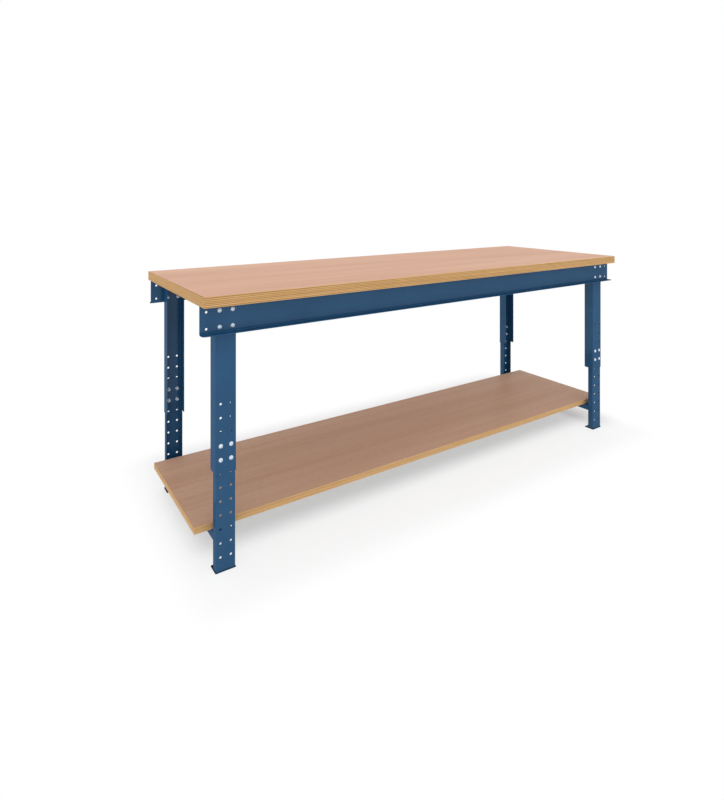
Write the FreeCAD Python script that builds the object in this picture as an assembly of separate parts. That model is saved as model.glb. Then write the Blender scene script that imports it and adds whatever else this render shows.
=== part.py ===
"""Assembly table: a beech board on a bolted sheet-steel frame with telescoping legs and a lower shelf.

Frame: X runs along the table, front is -Y, Z is up, and the origin is on the floor under its middle.
All sizes are in millimetres.
"""

import FreeCAD
import Part

import math
import os

from FreeCAD import Vector

# ---- board and its place over the frame
TOP_LENGTH = 2500.0
TOP_DEPTH = 750.0
TOP_THICK = 40.0
TOP_EDGE_EASE = 1.5
FRONT_OVERHANG = 47.0       # board edge to the outer face of the leg web
LEG_INSET = 100.0           # board end to the middle of the leg

# ---- legs: an outer channel that telescopes over an inner one, both open to the table's inside
UPPER_WIDTH = 80.0
UPPER_FLANGE = 50.0
UPPER_LENGTH = 607.5
UPPER_ROWS = 5              # rows of holes at the foot of the outer channel
LEG_SHEET = 2.0
LEG_BEND = 2.0              # inside radius of the bends
LOWER_FLANGE = 28.0
LOWER_LENGTH = 500.0
SLIDE_GAP = 0.3             # free play between the flanges of the two channels
LEG_HOLE_EDGE = 20.0        # hole column to the side of the outer channel
HOLE_PITCH = 50.0           # step of the height setting
HOLE_END = 50.0             # first row of holes to the end of the channel
BOLTED_ROWS = 2             # rows of holes that carry bolts at any height

# ---- foot plates
FOOT_THICK = 2.5
FOOT_DEPTH = 50.0
FOOT_EDGE = 2.0             # plate past the web and each side of the inner channel
FOOT_CORNER = 3.0

# ---- long rails under the board: web outside the legs, foot flange outward, head flange inward
RAIL_HEIGHT = 102.0
RAIL_SHEET = 2.5
RAIL_BEND = 2.5             # inside radius of the bends
RAIL_FOOT_FLANGE = 30.0
RAIL_FOOT_CORNER = 15.0     # rounding of the foot flange's free corners
RAIL_HEAD_FLANGE = 30.0
RAIL_HEAD_GAP = 2.0         # end of the head flange to the side of the leg
RAIL_ROW_EDGE = 20.0        # upper bolt row to the top of the rail
RAIL_ROW_PITCH = 60.0       # upper bolt row to the lower one
RAIL_BOLT_EDGE = 15.0       # bolt column to the side of the outer channel
END_HOLE_EDGE = 25.0        # open hole column to the end of the rail
END_HOLE_DROP = 2.0         # open holes below the bolt rows

# ---- cross members that join a front leg to a back leg
CROSS_SHEET = 2.0
CROSS_BEND = 2.0            # inside radius of the bends
CROSS_HEIGHT = 28.0
BEARER_TOP = 130.0          # top of the two that carry the shelf
WELD_GAP = 0.2              # side of a cross member to the channel that it is welded into

# ---- shelf
SHELF_THICK = 25.0
SHELF_GAP = 4.5             # shelf edge to the flange of the outer channel
SHELF_EDGE_EASE = 1.0

# ---- bolts, washers and nuts, size M8
BOLT_R = 4.0
BOLT_LENGTH = 20.0
BOLT_HOLE_R = 4.5
BOLT_HEAD_R = 7.0
BOLT_HEAD_HEIGHT = 4.4
BOLT_HEAD_RIM = 0.8         # straight edge under the dome
BOLT_TIP = 0.8              # chamfer at the end of the thread
SOCKET_ACROSS = 5.0
SOCKET_DEPTH = 2.6
WASHER_R = 8.0
WASHER_THICK = 1.6
WASHER_BORE_R = 4.2
NUT_ACROSS = 13.0
NUT_HEIGHT = 6.5
NUT_CHAMFER = 0.9
THREAD_GAP = 0.05           # plain cylinders stand for the threads

# ---- pan-head wood screws
SCREW_R = 2.5
SCREW_HOLE_R = 3.0
SCREW_HEAD_R = 5.0
SCREW_HEAD_HEIGHT = 3.0
SCREW_HEAD_RIM = 0.6
SCREW_TIP_R = 0.5
SCREW_TIP_LENGTH = 4.0
SCREW_SLOT_LENGTH = 4.5     # the two slots of the cross recess
SCREW_SLOT_WIDTH = 1.0
SCREW_SLOT_DEPTH = 1.6
TOP_SCREW_LENGTH = 30.0
SHELF_SCREW_LENGTH = 20.0
SCREWS_PER_RAIL = 7
SCREWS_PER_CROSS = 3
RAIL_SCREW_END = 150.0      # first screw to the end of the head flange
RAIL_SCREW_EDGE = 12.0      # screw row to the free edge of the head flange
CROSS_SCREW_END = 120.0     # first screw to the end of the cross member

# ---- places that follow from the sizes above
FRAME_DEPTH = TOP_DEPTH - 2 * FRONT_OVERHANG
LEG_PITCH = TOP_LENGTH - 2 * LEG_INSET
WEB_Y = -FRAME_DEPTH / 2
LOWER_WIDTH = UPPER_WIDTH - 2 * (LEG_SHEET + SLIDE_GAP)
LOWER_ROWS = int((LOWER_LENGTH - HOLE_END) / HOLE_PITCH)
FIRST_ROW_Z = FOOT_THICK + HOLE_END
BOLT_ROW_Z = FIRST_ROW_Z + (LOWER_ROWS - BOLTED_ROWS) * HOLE_PITCH
UPPER_FOOT_Z = BOLT_ROW_Z - HOLE_END
BOARD_Z = UPPER_FOOT_Z + UPPER_LENGTH
LEG_COLUMNS = (UPPER_WIDTH / 2 - LEG_HOLE_EDGE) * 2
RAIL_COLUMNS = (UPPER_WIDTH / 2 - RAIL_BOLT_EDGE) * 2
RAIL_ROWS_Z = (BOARD_Z - RAIL_ROW_EDGE - RAIL_ROW_PITCH, BOARD_Z - RAIL_ROW_EDGE)
END_ROWS_Z = tuple(row - END_HOLE_DROP for row in RAIL_ROWS_Z)
HEAD_FLANGE_LENGTH = LEG_PITCH - UPPER_WIDTH - 2 * RAIL_HEAD_GAP
SHELF_DEPTH = FRAME_DEPTH - 2 * (UPPER_FLANGE + SHELF_GAP)

LEG_X = {"left": -LEG_PITCH / 2, "right": LEG_PITCH / 2}
TABLE_SIDES = ("front", "back")


# ---- drawing aids

def rounded_face(corners):
    """Flat face in the XY plane from corners (x, y, radius), each rounded by its radius."""
    edges = []
    count = len(corners)
    starts = []
    ends = []
    arcs = []
    for i in range(count):
        x, y, radius = corners[i]
        here = Vector(x, y, 0)
        before = Vector(*corners[i - 1][:2], 0) - here
        after = Vector(*corners[(i + 1) % count][:2], 0) - here
        before.normalize()
        after.normalize()
        if radius <= 0:
            starts.append(here)
            ends.append(here)
            arcs.append(None)
            continue
        half = before.getAngle(after) / 2
        reach = radius / math.tan(half)
        bisector = before + after
        bisector.normalize()
        starts.append(here + before * reach)
        ends.append(here + after * reach)
        arcs.append(here + bisector * (radius / math.sin(half) - radius))
    for i in range(count):
        if arcs[i] is not None:
            edges.append(Part.Arc(starts[i], arcs[i], ends[i]).toShape())
        edges.append(Part.LineSegment(ends[i], starts[(i + 1) % count]).toShape())
    return Part.Face(Part.Wire(edges))


def channel(width, flange, sheet, bend, length):
    """Bent channel standing on the XY plane: web on y = 0, centred on x = 0, open towards +Y."""
    half = width / 2
    outside = bend + sheet
    face = rounded_face([
        (-half, 0, outside),
        (half, 0, outside),
        (half, flange, 0),
        (half - sheet, flange, 0),
        (half - sheet, sheet, bend),
        (sheet - half, sheet, bend),
        (sheet - half, flange, 0),
        (-half, flange, 0),
    ])
    return face.extrude(Vector(0, 0, length))


def cross_channel(width, length, top_z):
    """Channel lying along Y with its web on top at top_z, centred on x = 0 and y = 0.

    Its corners are clipped, seen from above, to clear the bends of the legs that it stands between.
    """
    shape = channel(width, CROSS_HEIGHT, CROSS_SHEET, CROSS_BEND, length)
    shape.rotate(Vector(0, 0, 0), Vector(1, 0, 0), -90)
    shape.translate(Vector(0, -length / 2, top_z))
    side = width / 2
    end = length / 2
    clip_x = side - LEG_BEND
    clip_y = end - LEG_BEND
    plan = rounded_face([
        (-clip_x, -end, 0), (clip_x, -end, 0), (side, -clip_y, 0), (side, clip_y, 0),
        (clip_x, end, 0), (-clip_x, end, 0), (-side, clip_y, 0), (-side, -clip_y, 0),
    ]).extrude(Vector(0, 0, CROSS_HEIGHT))
    plan.translate(Vector(0, 0, top_z - CROSS_HEIGHT))
    return shape.common(plan)


def drill_y(shape, radius, places, y_from, y_to):
    """Round holes along Y through shape at each (x, z)."""
    tools = []
    for x, z in places:
        tools.append(Part.makeCylinder(radius, y_to - y_from, Vector(x, y_from, z), Vector(0, 1, 0)))
    return shape.cut(tools)


def drill_z(shape, radius, places, z_from, z_to):
    """Round holes along Z through shape at each (x, y)."""
    tools = []
    for x, y in places:
        tools.append(Part.makeCylinder(radius, z_to - z_from, Vector(x, y, z_from)))
    return shape.cut(tools)


def to_side(shape, side):
    """Shape as made for the front, or turned half a turn about Z for the back."""
    placed = shape.copy()
    if side == "back":
        placed.rotate(Vector(0, 0, 0), Vector(0, 0, 1), 180)
    return placed


def grid(columns, rows):
    """All (column, row) pairs."""
    return [(column, row) for row in rows for column in columns]


def spread(count, low, high):
    """Evenly spaced values from low to high."""
    return [low + (high - low) * i / (count - 1) for i in range(count)]


def save(name, shapes):
    """One STEP file for the node, as one solid or as a group of separate solids."""
    shape = shapes[0] if len(shapes) == 1 else Part.makeCompound(shapes)
    shape.exportStep("parts/" + name + ".step")


# ---- places of the fasteners, on the front side

def leg_columns(leg_x):
    """X of the two hole columns in a leg."""
    return (leg_x - LEG_COLUMNS / 2, leg_x + LEG_COLUMNS / 2)


def rail_columns(leg_x):
    """X of the two bolt columns that hold a rail to a leg."""
    return (leg_x - RAIL_COLUMNS / 2, leg_x + RAIL_COLUMNS / 2)


def upper_rows():
    """Z of the hole rows at the foot of the outer channel, with the bolted rows first."""
    return [BOLT_ROW_Z + i * HOLE_PITCH for i in range(UPPER_ROWS)]


def lower_rows():
    """Z of the hole rows in the inner channel."""
    return [FIRST_ROW_Z + i * HOLE_PITCH for i in range(LOWER_ROWS)]


def rail_bolt_places():
    """(x, z) of every rail bolt on one side of the table."""
    places = []
    for leg_x in LEG_X.values():
        places += grid(rail_columns(leg_x), RAIL_ROWS_Z)
    return places


def height_bolt_places():
    """(x, z) of every height bolt on one side of the table."""
    places = []
    for leg_x in LEG_X.values():
        places += grid(leg_columns(leg_x), upper_rows()[:BOLTED_ROWS])
    return places


def rail_screw_y():
    """Y of the screw row in the head flange of the front rail."""
    return WEB_Y + RAIL_HEAD_FLANGE - RAIL_SCREW_EDGE


def rail_screw_places():
    """(x, y) of the screws in both head flanges."""
    reach = HEAD_FLANGE_LENGTH / 2 - RAIL_SCREW_END
    columns = spread(SCREWS_PER_RAIL, -reach, reach)
    return grid(columns, (rail_screw_y(), -rail_screw_y()))


def cross_screw_places():
    """(x, y) of the screws in both cross members of one level."""
    reach = FRAME_DEPTH / 2 - CROSS_SCREW_END
    return grid(LEG_X.values(), spread(SCREWS_PER_CROSS, -reach, reach))


# ---- boards

def board(length, depth, thick, ease, bottom_z):
    """Board with its long edges and corners eased."""
    shape = Part.makeBox(length, depth, thick, Vector(-length / 2, -depth / 2, bottom_z))
    return shape.makeChamfer(ease, shape.Edges)


def make_worktop():
    """Beech board with a pilot hole for each screw from below."""
    shape = board(TOP_LENGTH, TOP_DEPTH, TOP_THICK, TOP_EDGE_EASE, BOARD_Z)
    radius = SCREW_R + THREAD_GAP
    rail_depth = TOP_SCREW_LENGTH - RAIL_SHEET
    cross_depth = TOP_SCREW_LENGTH - CROSS_SHEET
    shape = drill_z(shape, radius, rail_screw_places(), BOARD_Z, BOARD_Z + rail_depth)
    return drill_z(shape, radius, cross_screw_places(), BOARD_Z, BOARD_Z + cross_depth)


def make_shelf():
    """Shelf board that lies on the two bearers."""
    shape = board(TOP_LENGTH, SHELF_DEPTH, SHELF_THICK, SHELF_EDGE_EASE, BEARER_TOP)
    depth = SHELF_SCREW_LENGTH - CROSS_SHEET
    return drill_z(shape, SCREW_R + THREAD_GAP, cross_screw_places(), BEARER_TOP, BEARER_TOP + depth)


# ---- legs

def make_upper_leg(leg_x):
    """Outer channel: rail holes at its head, rows of height holes at its foot."""
    shape = channel(UPPER_WIDTH, UPPER_FLANGE, LEG_SHEET, LEG_BEND, UPPER_LENGTH)
    shape.translate(Vector(leg_x, WEB_Y, UPPER_FOOT_Z))
    places = grid(leg_columns(leg_x), upper_rows())
    places += grid(rail_columns(leg_x), RAIL_ROWS_Z)
    return drill_y(shape, BOLT_HOLE_R, places, WEB_Y - LEG_SHEET, WEB_Y + 2 * LEG_SHEET)


def make_lower_leg(leg_x):
    """Inner channel that stands on the foot plate, with a row of holes at every height step."""
    web_y = WEB_Y + LEG_SHEET
    shape = channel(LOWER_WIDTH, LOWER_FLANGE, LEG_SHEET, LEG_BEND, LOWER_LENGTH)
    shape.translate(Vector(leg_x, web_y, FOOT_THICK))
    places = grid(leg_columns(leg_x), lower_rows())
    return drill_y(shape, BOLT_HOLE_R, places, web_y - LEG_SHEET, web_y + 2 * LEG_SHEET)


def make_foot_plate(leg_x):
    """Flat plate that covers the outline of the outer channel, under the inner one."""
    half = LOWER_WIDTH / 2 + FOOT_EDGE
    front = WEB_Y + LEG_SHEET - FOOT_EDGE
    face = rounded_face([
        (leg_x - half, front, FOOT_CORNER),
        (leg_x + half, front, FOOT_CORNER),
        (leg_x + half, front + FOOT_DEPTH, FOOT_CORNER),
        (leg_x - half, front + FOOT_DEPTH, FOOT_CORNER),
    ])
    return face.extrude(Vector(0, 0, FOOT_THICK))


# ---- rails and cross members

def rail_section(with_head):
    """Rail outline as (y, z) corners from the outer face of the leg web, foot flange outward."""
    outside = RAIL_BEND + RAIL_SHEET
    top = RAIL_HEIGHT
    corners = [
        (0, 0, outside),
        (-RAIL_FOOT_FLANGE - RAIL_SHEET, 0, 0),
        (-RAIL_FOOT_FLANGE - RAIL_SHEET, RAIL_SHEET, 0),
        (-RAIL_SHEET, RAIL_SHEET, RAIL_BEND),
    ]
    if with_head:
        corners += [
            (-RAIL_SHEET, top, outside),
            (RAIL_HEAD_FLANGE, top, 0),
            (RAIL_HEAD_FLANGE, top - RAIL_SHEET, 0),
            (0, top - RAIL_SHEET, RAIL_BEND),
        ]
    else:
        corners += [
            (-RAIL_SHEET, top, 0),
            (0, top, 0),
        ]
    return corners


def rail_run(section, length, x_from):
    """Length of rail with the given section, in place along X on the front."""
    run = rounded_face(section).extrude(Vector(0, 0, length))
    # the section's x, y and height become the table's Y, Z and X
    to_x = FreeCAD.Matrix(0, 0, 1, x_from, 1, 0, 0, WEB_Y, 0, 1, 0, BOARD_Z - RAIL_HEIGHT)
    return run.transformed(to_x)


def foot_flange_corner(end_x):
    """What comes off a free corner of the foot flange to leave it round."""
    block_side = 2 * RAIL_FOOT_CORNER
    height = 3 * RAIL_SHEET
    inward = -math.copysign(RAIL_FOOT_CORNER, end_x)
    tip_y = WEB_Y - RAIL_SHEET - RAIL_FOOT_FLANGE
    bottom_z = BOARD_Z - RAIL_HEIGHT - RAIL_SHEET
    centre = Vector(end_x + inward, tip_y + RAIL_FOOT_CORNER, bottom_z)
    block = Part.makeBox(block_side, block_side, height)
    block.translate(Vector(end_x - RAIL_FOOT_CORNER, tip_y - RAIL_FOOT_CORNER, bottom_z))
    return block.cut(Part.makeCylinder(RAIL_FOOT_CORNER, height, centre))


def make_rail():
    """Front rail: the head flange stops short of the legs, the rest runs the board's full length."""
    ends = (TOP_LENGTH - HEAD_FLANGE_LENGTH) / 2
    middle = rail_run(rail_section(True), HEAD_FLANGE_LENGTH, -HEAD_FLANGE_LENGTH / 2)
    left = rail_run(rail_section(False), ends, -TOP_LENGTH / 2)
    right = rail_run(rail_section(False), ends, HEAD_FLANGE_LENGTH / 2)
    shape = middle.fuse([left, right]).removeSplitter()
    end_column = TOP_LENGTH / 2 - END_HOLE_EDGE
    places = rail_bolt_places()
    places += grid((-end_column, end_column), END_ROWS_Z)
    shape = drill_y(shape, BOLT_HOLE_R, places, WEB_Y - 2 * RAIL_SHEET, WEB_Y + RAIL_SHEET)
    shape = shape.cut([foot_flange_corner(-TOP_LENGTH / 2), foot_flange_corner(TOP_LENGTH / 2)])
    screws = [place for place in rail_screw_places() if place[1] < 0]
    return drill_z(shape, SCREW_HOLE_R, screws, BOARD_Z - 2 * RAIL_SHEET, BOARD_Z + RAIL_SHEET)


def make_top_cross(leg_x):
    """Cross member under the board, welded between the webs of two outer channels."""
    width = UPPER_WIDTH - 2 * (LEG_SHEET + WELD_GAP)
    shape = cross_channel(width, FRAME_DEPTH - 2 * LEG_SHEET, BOARD_Z)
    shape.translate(Vector(leg_x, 0, 0))
    return drill_z(shape, SCREW_HOLE_R, cross_screw_places(), BOARD_Z - 2 * CROSS_SHEET, BOARD_Z)


def make_shelf_bearer(leg_x):
    """Cross member under the shelf, welded between the webs of two inner channels."""
    width = LOWER_WIDTH - 2 * (LEG_SHEET + WELD_GAP)
    shape = cross_channel(width, FRAME_DEPTH - 4 * LEG_SHEET, BEARER_TOP)
    shape.translate(Vector(leg_x, 0, 0))
    return drill_z(shape, SCREW_HOLE_R, cross_screw_places(), BEARER_TOP - 2 * CROSS_SHEET, BEARER_TOP)


# ---- bolts, washers, nuts and screws

def headed_pin(head_r, head_height, rim, shank_r, length, tip_r, tip_length):
    """Turned fastener with a domed head on top of z = 0 and its shank below."""
    dome = head_height - rim
    dome_r = (head_r ** 2 + dome ** 2) / (2 * dome)
    half = math.asin(head_r / dome_r) / 2
    middle = Vector(dome_r * math.sin(half), 0, head_height - dome_r * (1 - math.cos(half)))
    apex = Vector(0, 0, head_height)
    rim_top = Vector(head_r, 0, rim)
    outline = [
        rim_top,
        Vector(head_r, 0, 0),
        Vector(shank_r, 0, 0),
        Vector(shank_r, 0, tip_length - length),
        Vector(tip_r, 0, -length),
        Vector(0, 0, -length),
        apex,
    ]
    edges = [Part.Arc(apex, middle, rim_top).toShape()]
    for start, end in zip(outline, outline[1:]):
        edges.append(Part.LineSegment(start, end).toShape())
    return Part.Face(Part.Wire(edges)).revolve(Vector(0, 0, 0), Vector(0, 0, 1), 360)


def hexagon(across, height, bottom_z):
    """Six-sided prism on the Z axis."""
    corner_r = across / math.sqrt(3)
    points = []
    for i in range(7):
        angle = math.radians(60 * i)
        points.append(Vector(corner_r * math.cos(angle), corner_r * math.sin(angle), bottom_z))
    return Part.Face(Part.makePolygon(points)).extrude(Vector(0, 0, height))


def make_bolt():
    """Button-head bolt with a hexagon socket."""
    pin = headed_pin(BOLT_HEAD_R, BOLT_HEAD_HEIGHT, BOLT_HEAD_RIM, BOLT_R, BOLT_LENGTH,
                     BOLT_R - BOLT_TIP, BOLT_TIP)
    return pin.cut(hexagon(SOCKET_ACROSS, SOCKET_DEPTH, BOLT_HEAD_HEIGHT - SOCKET_DEPTH))


def make_washer():
    """Flat washer that rises from z = 0."""
    return Part.makeCylinder(WASHER_R, WASHER_THICK).cut(Part.makeCylinder(WASHER_BORE_R, WASHER_THICK))


def make_nut():
    """Hexagon nut that rises from z = 0, with both ends chamfered."""
    corner_r = NUT_ACROSS / math.sqrt(3)
    blank = Part.makeCylinder(corner_r, NUT_HEIGHT)
    blank = blank.makeChamfer(NUT_CHAMFER / math.sqrt(3), NUT_CHAMFER, blank.Edges[:1] + blank.Edges[2:])
    nut = hexagon(NUT_ACROSS, NUT_HEIGHT, 0).common(blank)
    return nut.cut(Part.makeCylinder(BOLT_R + THREAD_GAP, NUT_HEIGHT))


def make_screw(length):
    """Pan-head wood screw with a cross recess, driven upwards: its head hangs below z = 0."""
    pin = headed_pin(SCREW_HEAD_R, SCREW_HEAD_HEIGHT, SCREW_HEAD_RIM, SCREW_R, length,
                     SCREW_TIP_R, SCREW_TIP_LENGTH)
    bottom = SCREW_HEAD_HEIGHT - SCREW_SLOT_DEPTH
    corner = Vector(-SCREW_SLOT_LENGTH / 2, -SCREW_SLOT_WIDTH / 2, bottom)
    slot = Part.makeBox(SCREW_SLOT_LENGTH, SCREW_SLOT_WIDTH, SCREW_SLOT_DEPTH, corner)
    across = slot.copy()
    across.rotate(Vector(0, 0, 0), Vector(0, 0, 1), 90)
    screw = pin.cut([slot, across])
    screw.rotate(Vector(0, 0, 0), Vector(1, 0, 0), 180)
    return screw


def set_along_y(shape, places, y, outward):
    """Copies at each (x, z), with the shape's +Z turned to the outside (-Y) or to the inside (+Y)."""
    copies = []
    for x, z in places:
        copy = shape.copy()
        copy.rotate(Vector(0, 0, 0), Vector(1, 0, 0), 90 if outward else -90)
        copy.translate(Vector(x, y, z))
        copies.append(copy)
    return copies


def set_upright(shape, places, z):
    """Copies at each (x, y) on the level z."""
    copies = []
    for x, y in places:
        copy = shape.copy()
        copy.translate(Vector(x, y, z))
        copies.append(copy)
    return copies


def bolted_joint(places, outer_y, inner_y):
    """Bolts, washers and nuts that clamp the sheets between outer_y and inner_y on the front."""
    return {
        "bolts": set_along_y(make_bolt(), places, outer_y - WASHER_THICK, True),
        "outer_washers": set_along_y(make_washer(), places, outer_y, True),
        "inner_washers": set_along_y(make_washer(), places, inner_y, False),
        "nuts": set_along_y(make_nut(), places, inner_y + WASHER_THICK, False),
    }


# ---- the whole table, one file for each node

def save_boards():
    save("worktop", [make_worktop()])
    save("shelf", [make_shelf()])


def save_frame():
    rail = make_rail()
    for side in TABLE_SIDES:
        save(side + "_rail", [to_side(rail, side)])
    for end, leg_x in LEG_X.items():
        save("top_cross_member_" + end, [make_top_cross(leg_x)])
        save("shelf_bearer_" + end, [make_shelf_bearer(leg_x)])
        for side in TABLE_SIDES:
            # the half turn that takes a leg to the back also takes it to the other end
            made_x = leg_x if side == "front" else -leg_x
            place = "_" + side + "_" + end
            save("upper_leg" + place, [to_side(make_upper_leg(made_x), side)])
            save("lower_leg" + place, [to_side(make_lower_leg(made_x), side)])
            save("foot_plate" + place, [to_side(make_foot_plate(made_x), side)])


def save_fasteners():
    joints = {
        "rail": bolted_joint(rail_bolt_places(), WEB_Y - RAIL_SHEET, WEB_Y + LEG_SHEET),
        "height": bolted_joint(height_bolt_places(), WEB_Y, WEB_Y + 2 * LEG_SHEET),
    }
    for joint, groups in joints.items():
        for side in TABLE_SIDES:
            for group, shapes in groups.items():
                name = "_".join((joint, group, side))
                save(name, [to_side(shape, side) for shape in shapes])
    top_screw = make_screw(TOP_SCREW_LENGTH)
    shelf_screw = make_screw(SHELF_SCREW_LENGTH)
    save("worktop_rail_screws", set_upright(top_screw, rail_screw_places(), BOARD_Z - RAIL_SHEET))
    save("worktop_end_screws", set_upright(top_screw, cross_screw_places(), BOARD_Z - CROSS_SHEET))
    save("shelf_screws", set_upright(shelf_screw, cross_screw_places(), BEARER_TOP - CROSS_SHEET))


os.makedirs("parts", exist_ok=True)
save_boards()
save_frame()
save_fasteners()
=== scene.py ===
import math

import bmesh
import bpy
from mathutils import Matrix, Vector


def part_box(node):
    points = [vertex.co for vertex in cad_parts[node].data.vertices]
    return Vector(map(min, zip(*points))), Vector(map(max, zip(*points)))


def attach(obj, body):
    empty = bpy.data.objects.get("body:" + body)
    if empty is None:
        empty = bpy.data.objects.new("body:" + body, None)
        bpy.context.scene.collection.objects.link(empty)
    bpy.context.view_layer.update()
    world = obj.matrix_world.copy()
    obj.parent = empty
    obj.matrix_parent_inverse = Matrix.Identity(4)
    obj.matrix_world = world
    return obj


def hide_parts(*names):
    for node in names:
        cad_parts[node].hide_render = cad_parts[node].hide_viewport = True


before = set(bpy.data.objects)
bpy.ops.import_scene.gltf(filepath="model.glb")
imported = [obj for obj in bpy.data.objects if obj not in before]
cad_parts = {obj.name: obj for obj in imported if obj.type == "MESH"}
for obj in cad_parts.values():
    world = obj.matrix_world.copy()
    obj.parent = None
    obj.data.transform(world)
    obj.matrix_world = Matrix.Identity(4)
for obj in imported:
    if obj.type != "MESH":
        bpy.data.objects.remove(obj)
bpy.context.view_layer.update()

scene = bpy.context.scene
scene.view_settings.view_transform = "Standard"


# ---- where the viewer stands
# Eye height of a grown person in front of the table's left end, looking to the right along it.
# The camera is level, so that the legs stay upright, and its frame is shifted down onto the table.

eye_place = (-1.8754, -2.1188, 1.3435)
eye_turn = math.radians(-30.77)
eye_sensor = 36.0
eye_focal_share = 0.6636           # focal length as a share of the picture's height
eye_shift = (0.06825, -0.25355)

lens = bpy.data.cameras.new("eye")
lens.sensor_width = eye_sensor
lens.lens = eye_sensor * eye_focal_share
lens.shift_x, lens.shift_y = eye_shift
eye = bpy.data.objects.new("eye", lens)
eye.location = eye_place
eye.rotation_euler = (math.radians(90.0), 0.0, eye_turn)
scene.collection.objects.link(eye)
scene.camera = eye


# ---- light
# A white room that lights things evenly from all sides, with one weak, broad lamp high up in front
# of the table and a little to its left. The room itself is pure white to the eye and in reflections.

WHITE = (1.0, 1.0, 1.0, 1.0)


def add(tree, kind, inputs=None, **settings):
    """New node of that kind. Each input takes a value, or the socket that feeds it."""
    node = tree.nodes.new(kind)
    for name, value in settings.items():
        setattr(node, name, value)
    for name, value in (inputs or {}).items():
        if isinstance(value, bpy.types.NodeSocket):
            tree.links.new(value, node.inputs[name])
        else:
            node.inputs[name].default_value = value
    return node


def calc(tree, operation, *values):
    """Result of a Math node."""
    return add(tree, "ShaderNodeMath", dict(enumerate(values)), operation=operation).outputs[0]


def seen_directly(tree):
    """1 for the eye, reflections and glass, and 0 for the light that falls on things."""
    path = add(tree, "ShaderNodeLightPath")
    seen = calc(tree, "MAXIMUM", path.outputs["Is Camera Ray"], path.outputs["Is Glossy Ray"])
    return calc(tree, "MAXIMUM", seen, path.outputs["Is Transmission Ray"])


def soft_lamp(name, share, spread, towards):
    """Lamp in that direction, as broad as the spread, that adds its share to the light of the room."""
    light = bpy.data.lights.new(name, "SUN")
    light.energy = math.pi * share
    light.angle = math.radians(spread)
    lamp = bpy.data.objects.new(name, light)
    lamp.rotation_euler = Vector(towards).to_track_quat("Z", "Y").to_euler()
    scene.collection.objects.link(lamp)


room_strength = 0.85

room = bpy.data.worlds.new("white_room")
room.use_nodes = True
room.node_tree.nodes.clear()
room_light = add(room.node_tree, "ShaderNodeBackground", {"Strength": room_strength})
room_white = add(room.node_tree, "ShaderNodeBackground", {"Strength": 1.0})
for shade in (room_light, room_white):
    shade.inputs["Color"].default_value = WHITE
room_mix = add(room.node_tree, "ShaderNodeMixShader", {
    "Fac": seen_directly(room.node_tree),
    1: room_light.outputs[0],
    2: room_white.outputs[0],
})
add(room.node_tree, "ShaderNodeOutputWorld", {"Surface": room_mix.outputs[0]})
scene.world = room

soft_lamp("overhead", share=0.134, spread=60.0, towards=(-0.18, -0.33, 1.0))


# ---- floor
# Seamless white floor. It keeps a deep shadow under the shelf, which reaches to the back and at the
# right end to the front leg, and a light, wider one under the board. Past them it runs into the white
# of the room without a line.

def fading_rectangle(tree, place, share, middle, half_size, border):
    """The share within a rectangle, from which it falls to 0 in a border of that width."""
    nothing = (0.0, 0.0)
    mapping = add(tree, "ShaderNodeMapping", {"Vector": place, "Location": (-middle[0], -middle[1], 0.0)})
    past = mapping.outputs["Vector"]
    for operation, operand in (("ABSOLUTE", nothing), ("SUBTRACT", half_size), ("MAXIMUM", nothing)):
        operands = {0: past, 1: (*operand, 0.0)}
        past = add(tree, "ShaderNodeVectorMath", operands, operation=operation).outputs["Vector"]
    distance = add(tree, "ShaderNodeVectorMath", {0: past}, operation="LENGTH").outputs["Value"]
    return add(tree, "ShaderNodeMapRange", {
        "Value": distance,
        "From Max": border,
        "To Min": share,
        "To Max": 0.0,
    }, interpolation_type="SMOOTHSTEP").outputs["Result"]


floor_reach = 30.0
floor_white = Vector((0.955, 0.97, 0.98))
shadow_border = 0.15
shadows = {                        # share that the floor keeps, middle and half size of its rectangle
    "deep": (0.32, (0.10, 0.235), (1.225, 0.365)),
    "light": (0.23, (0.025, 0.055), (1.25, 0.50)),
    "right end": (0.45, (1.285, -0.05), (0.02, 0.20)),
}
# Painted light: under the shelf the floor's colour is made cooler, taking out the warm light that the beech
# bounces onto it.
shelf_bounce_area = (1.0, (0.0, 0.0), (0.98, 0.15))
shelf_bounce_tint = Vector((0.19, 0.03, -0.016))      # of the beech, taken out of the floor's colour there

floor_mesh = bpy.data.meshes.new("floor")
floor_mesh.from_pydata(
    [(x * floor_reach, y * floor_reach, 0.0) for x, y in ((-1, -1), (1, -1), (1, 1), (-1, 1))],
    [],
    [(0, 1, 2, 3)],
)
floor = bpy.data.objects.new("floor", floor_mesh)
scene.collection.objects.link(floor)

floor_paint = bpy.data.materials.new("white_floor")
floor_paint.use_nodes = True
floor_tree = floor_paint.node_tree
floor_tree.nodes.clear()
floor_place = add(floor_tree, "ShaderNodeTexCoord").outputs["Object"]
floor_glow = 1.0                   # share of the floor that is plain white to the eye
for shadow in shadows.values():
    kept = fading_rectangle(floor_tree, floor_place, *shadow, shadow_border)
    floor_glow = calc(floor_tree, "SUBTRACT", floor_glow, kept)
# The floor's colour, cooled under the shelf: painted light that takes out the beech's warm bounce.
floor_colour = add(floor_tree, "ShaderNodeVectorMath", {
    0: fading_rectangle(floor_tree, floor_place, *shelf_bounce_area, shadow_border),
    1: -shelf_bounce_tint,
    2: floor_white,
}, operation="MULTIPLY_ADD")
floor_matt = add(floor_tree, "ShaderNodeBsdfDiffuse", {"Color": floor_colour.outputs["Vector"]})
floor_shine = add(floor_tree, "ShaderNodeEmission", {"Strength": 1.0})
floor_mix = add(floor_tree, "ShaderNodeMixShader", {
    "Fac": calc(floor_tree, "MULTIPLY", seen_directly(floor_tree), floor_glow),
    1: floor_matt.outputs[0],
    2: floor_shine.outputs[0],
})
add(floor_tree, "ShaderNodeOutputMaterial", {"Surface": floor_mix.outputs[0]})
floor_mesh.materials.append(floor_paint)
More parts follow.
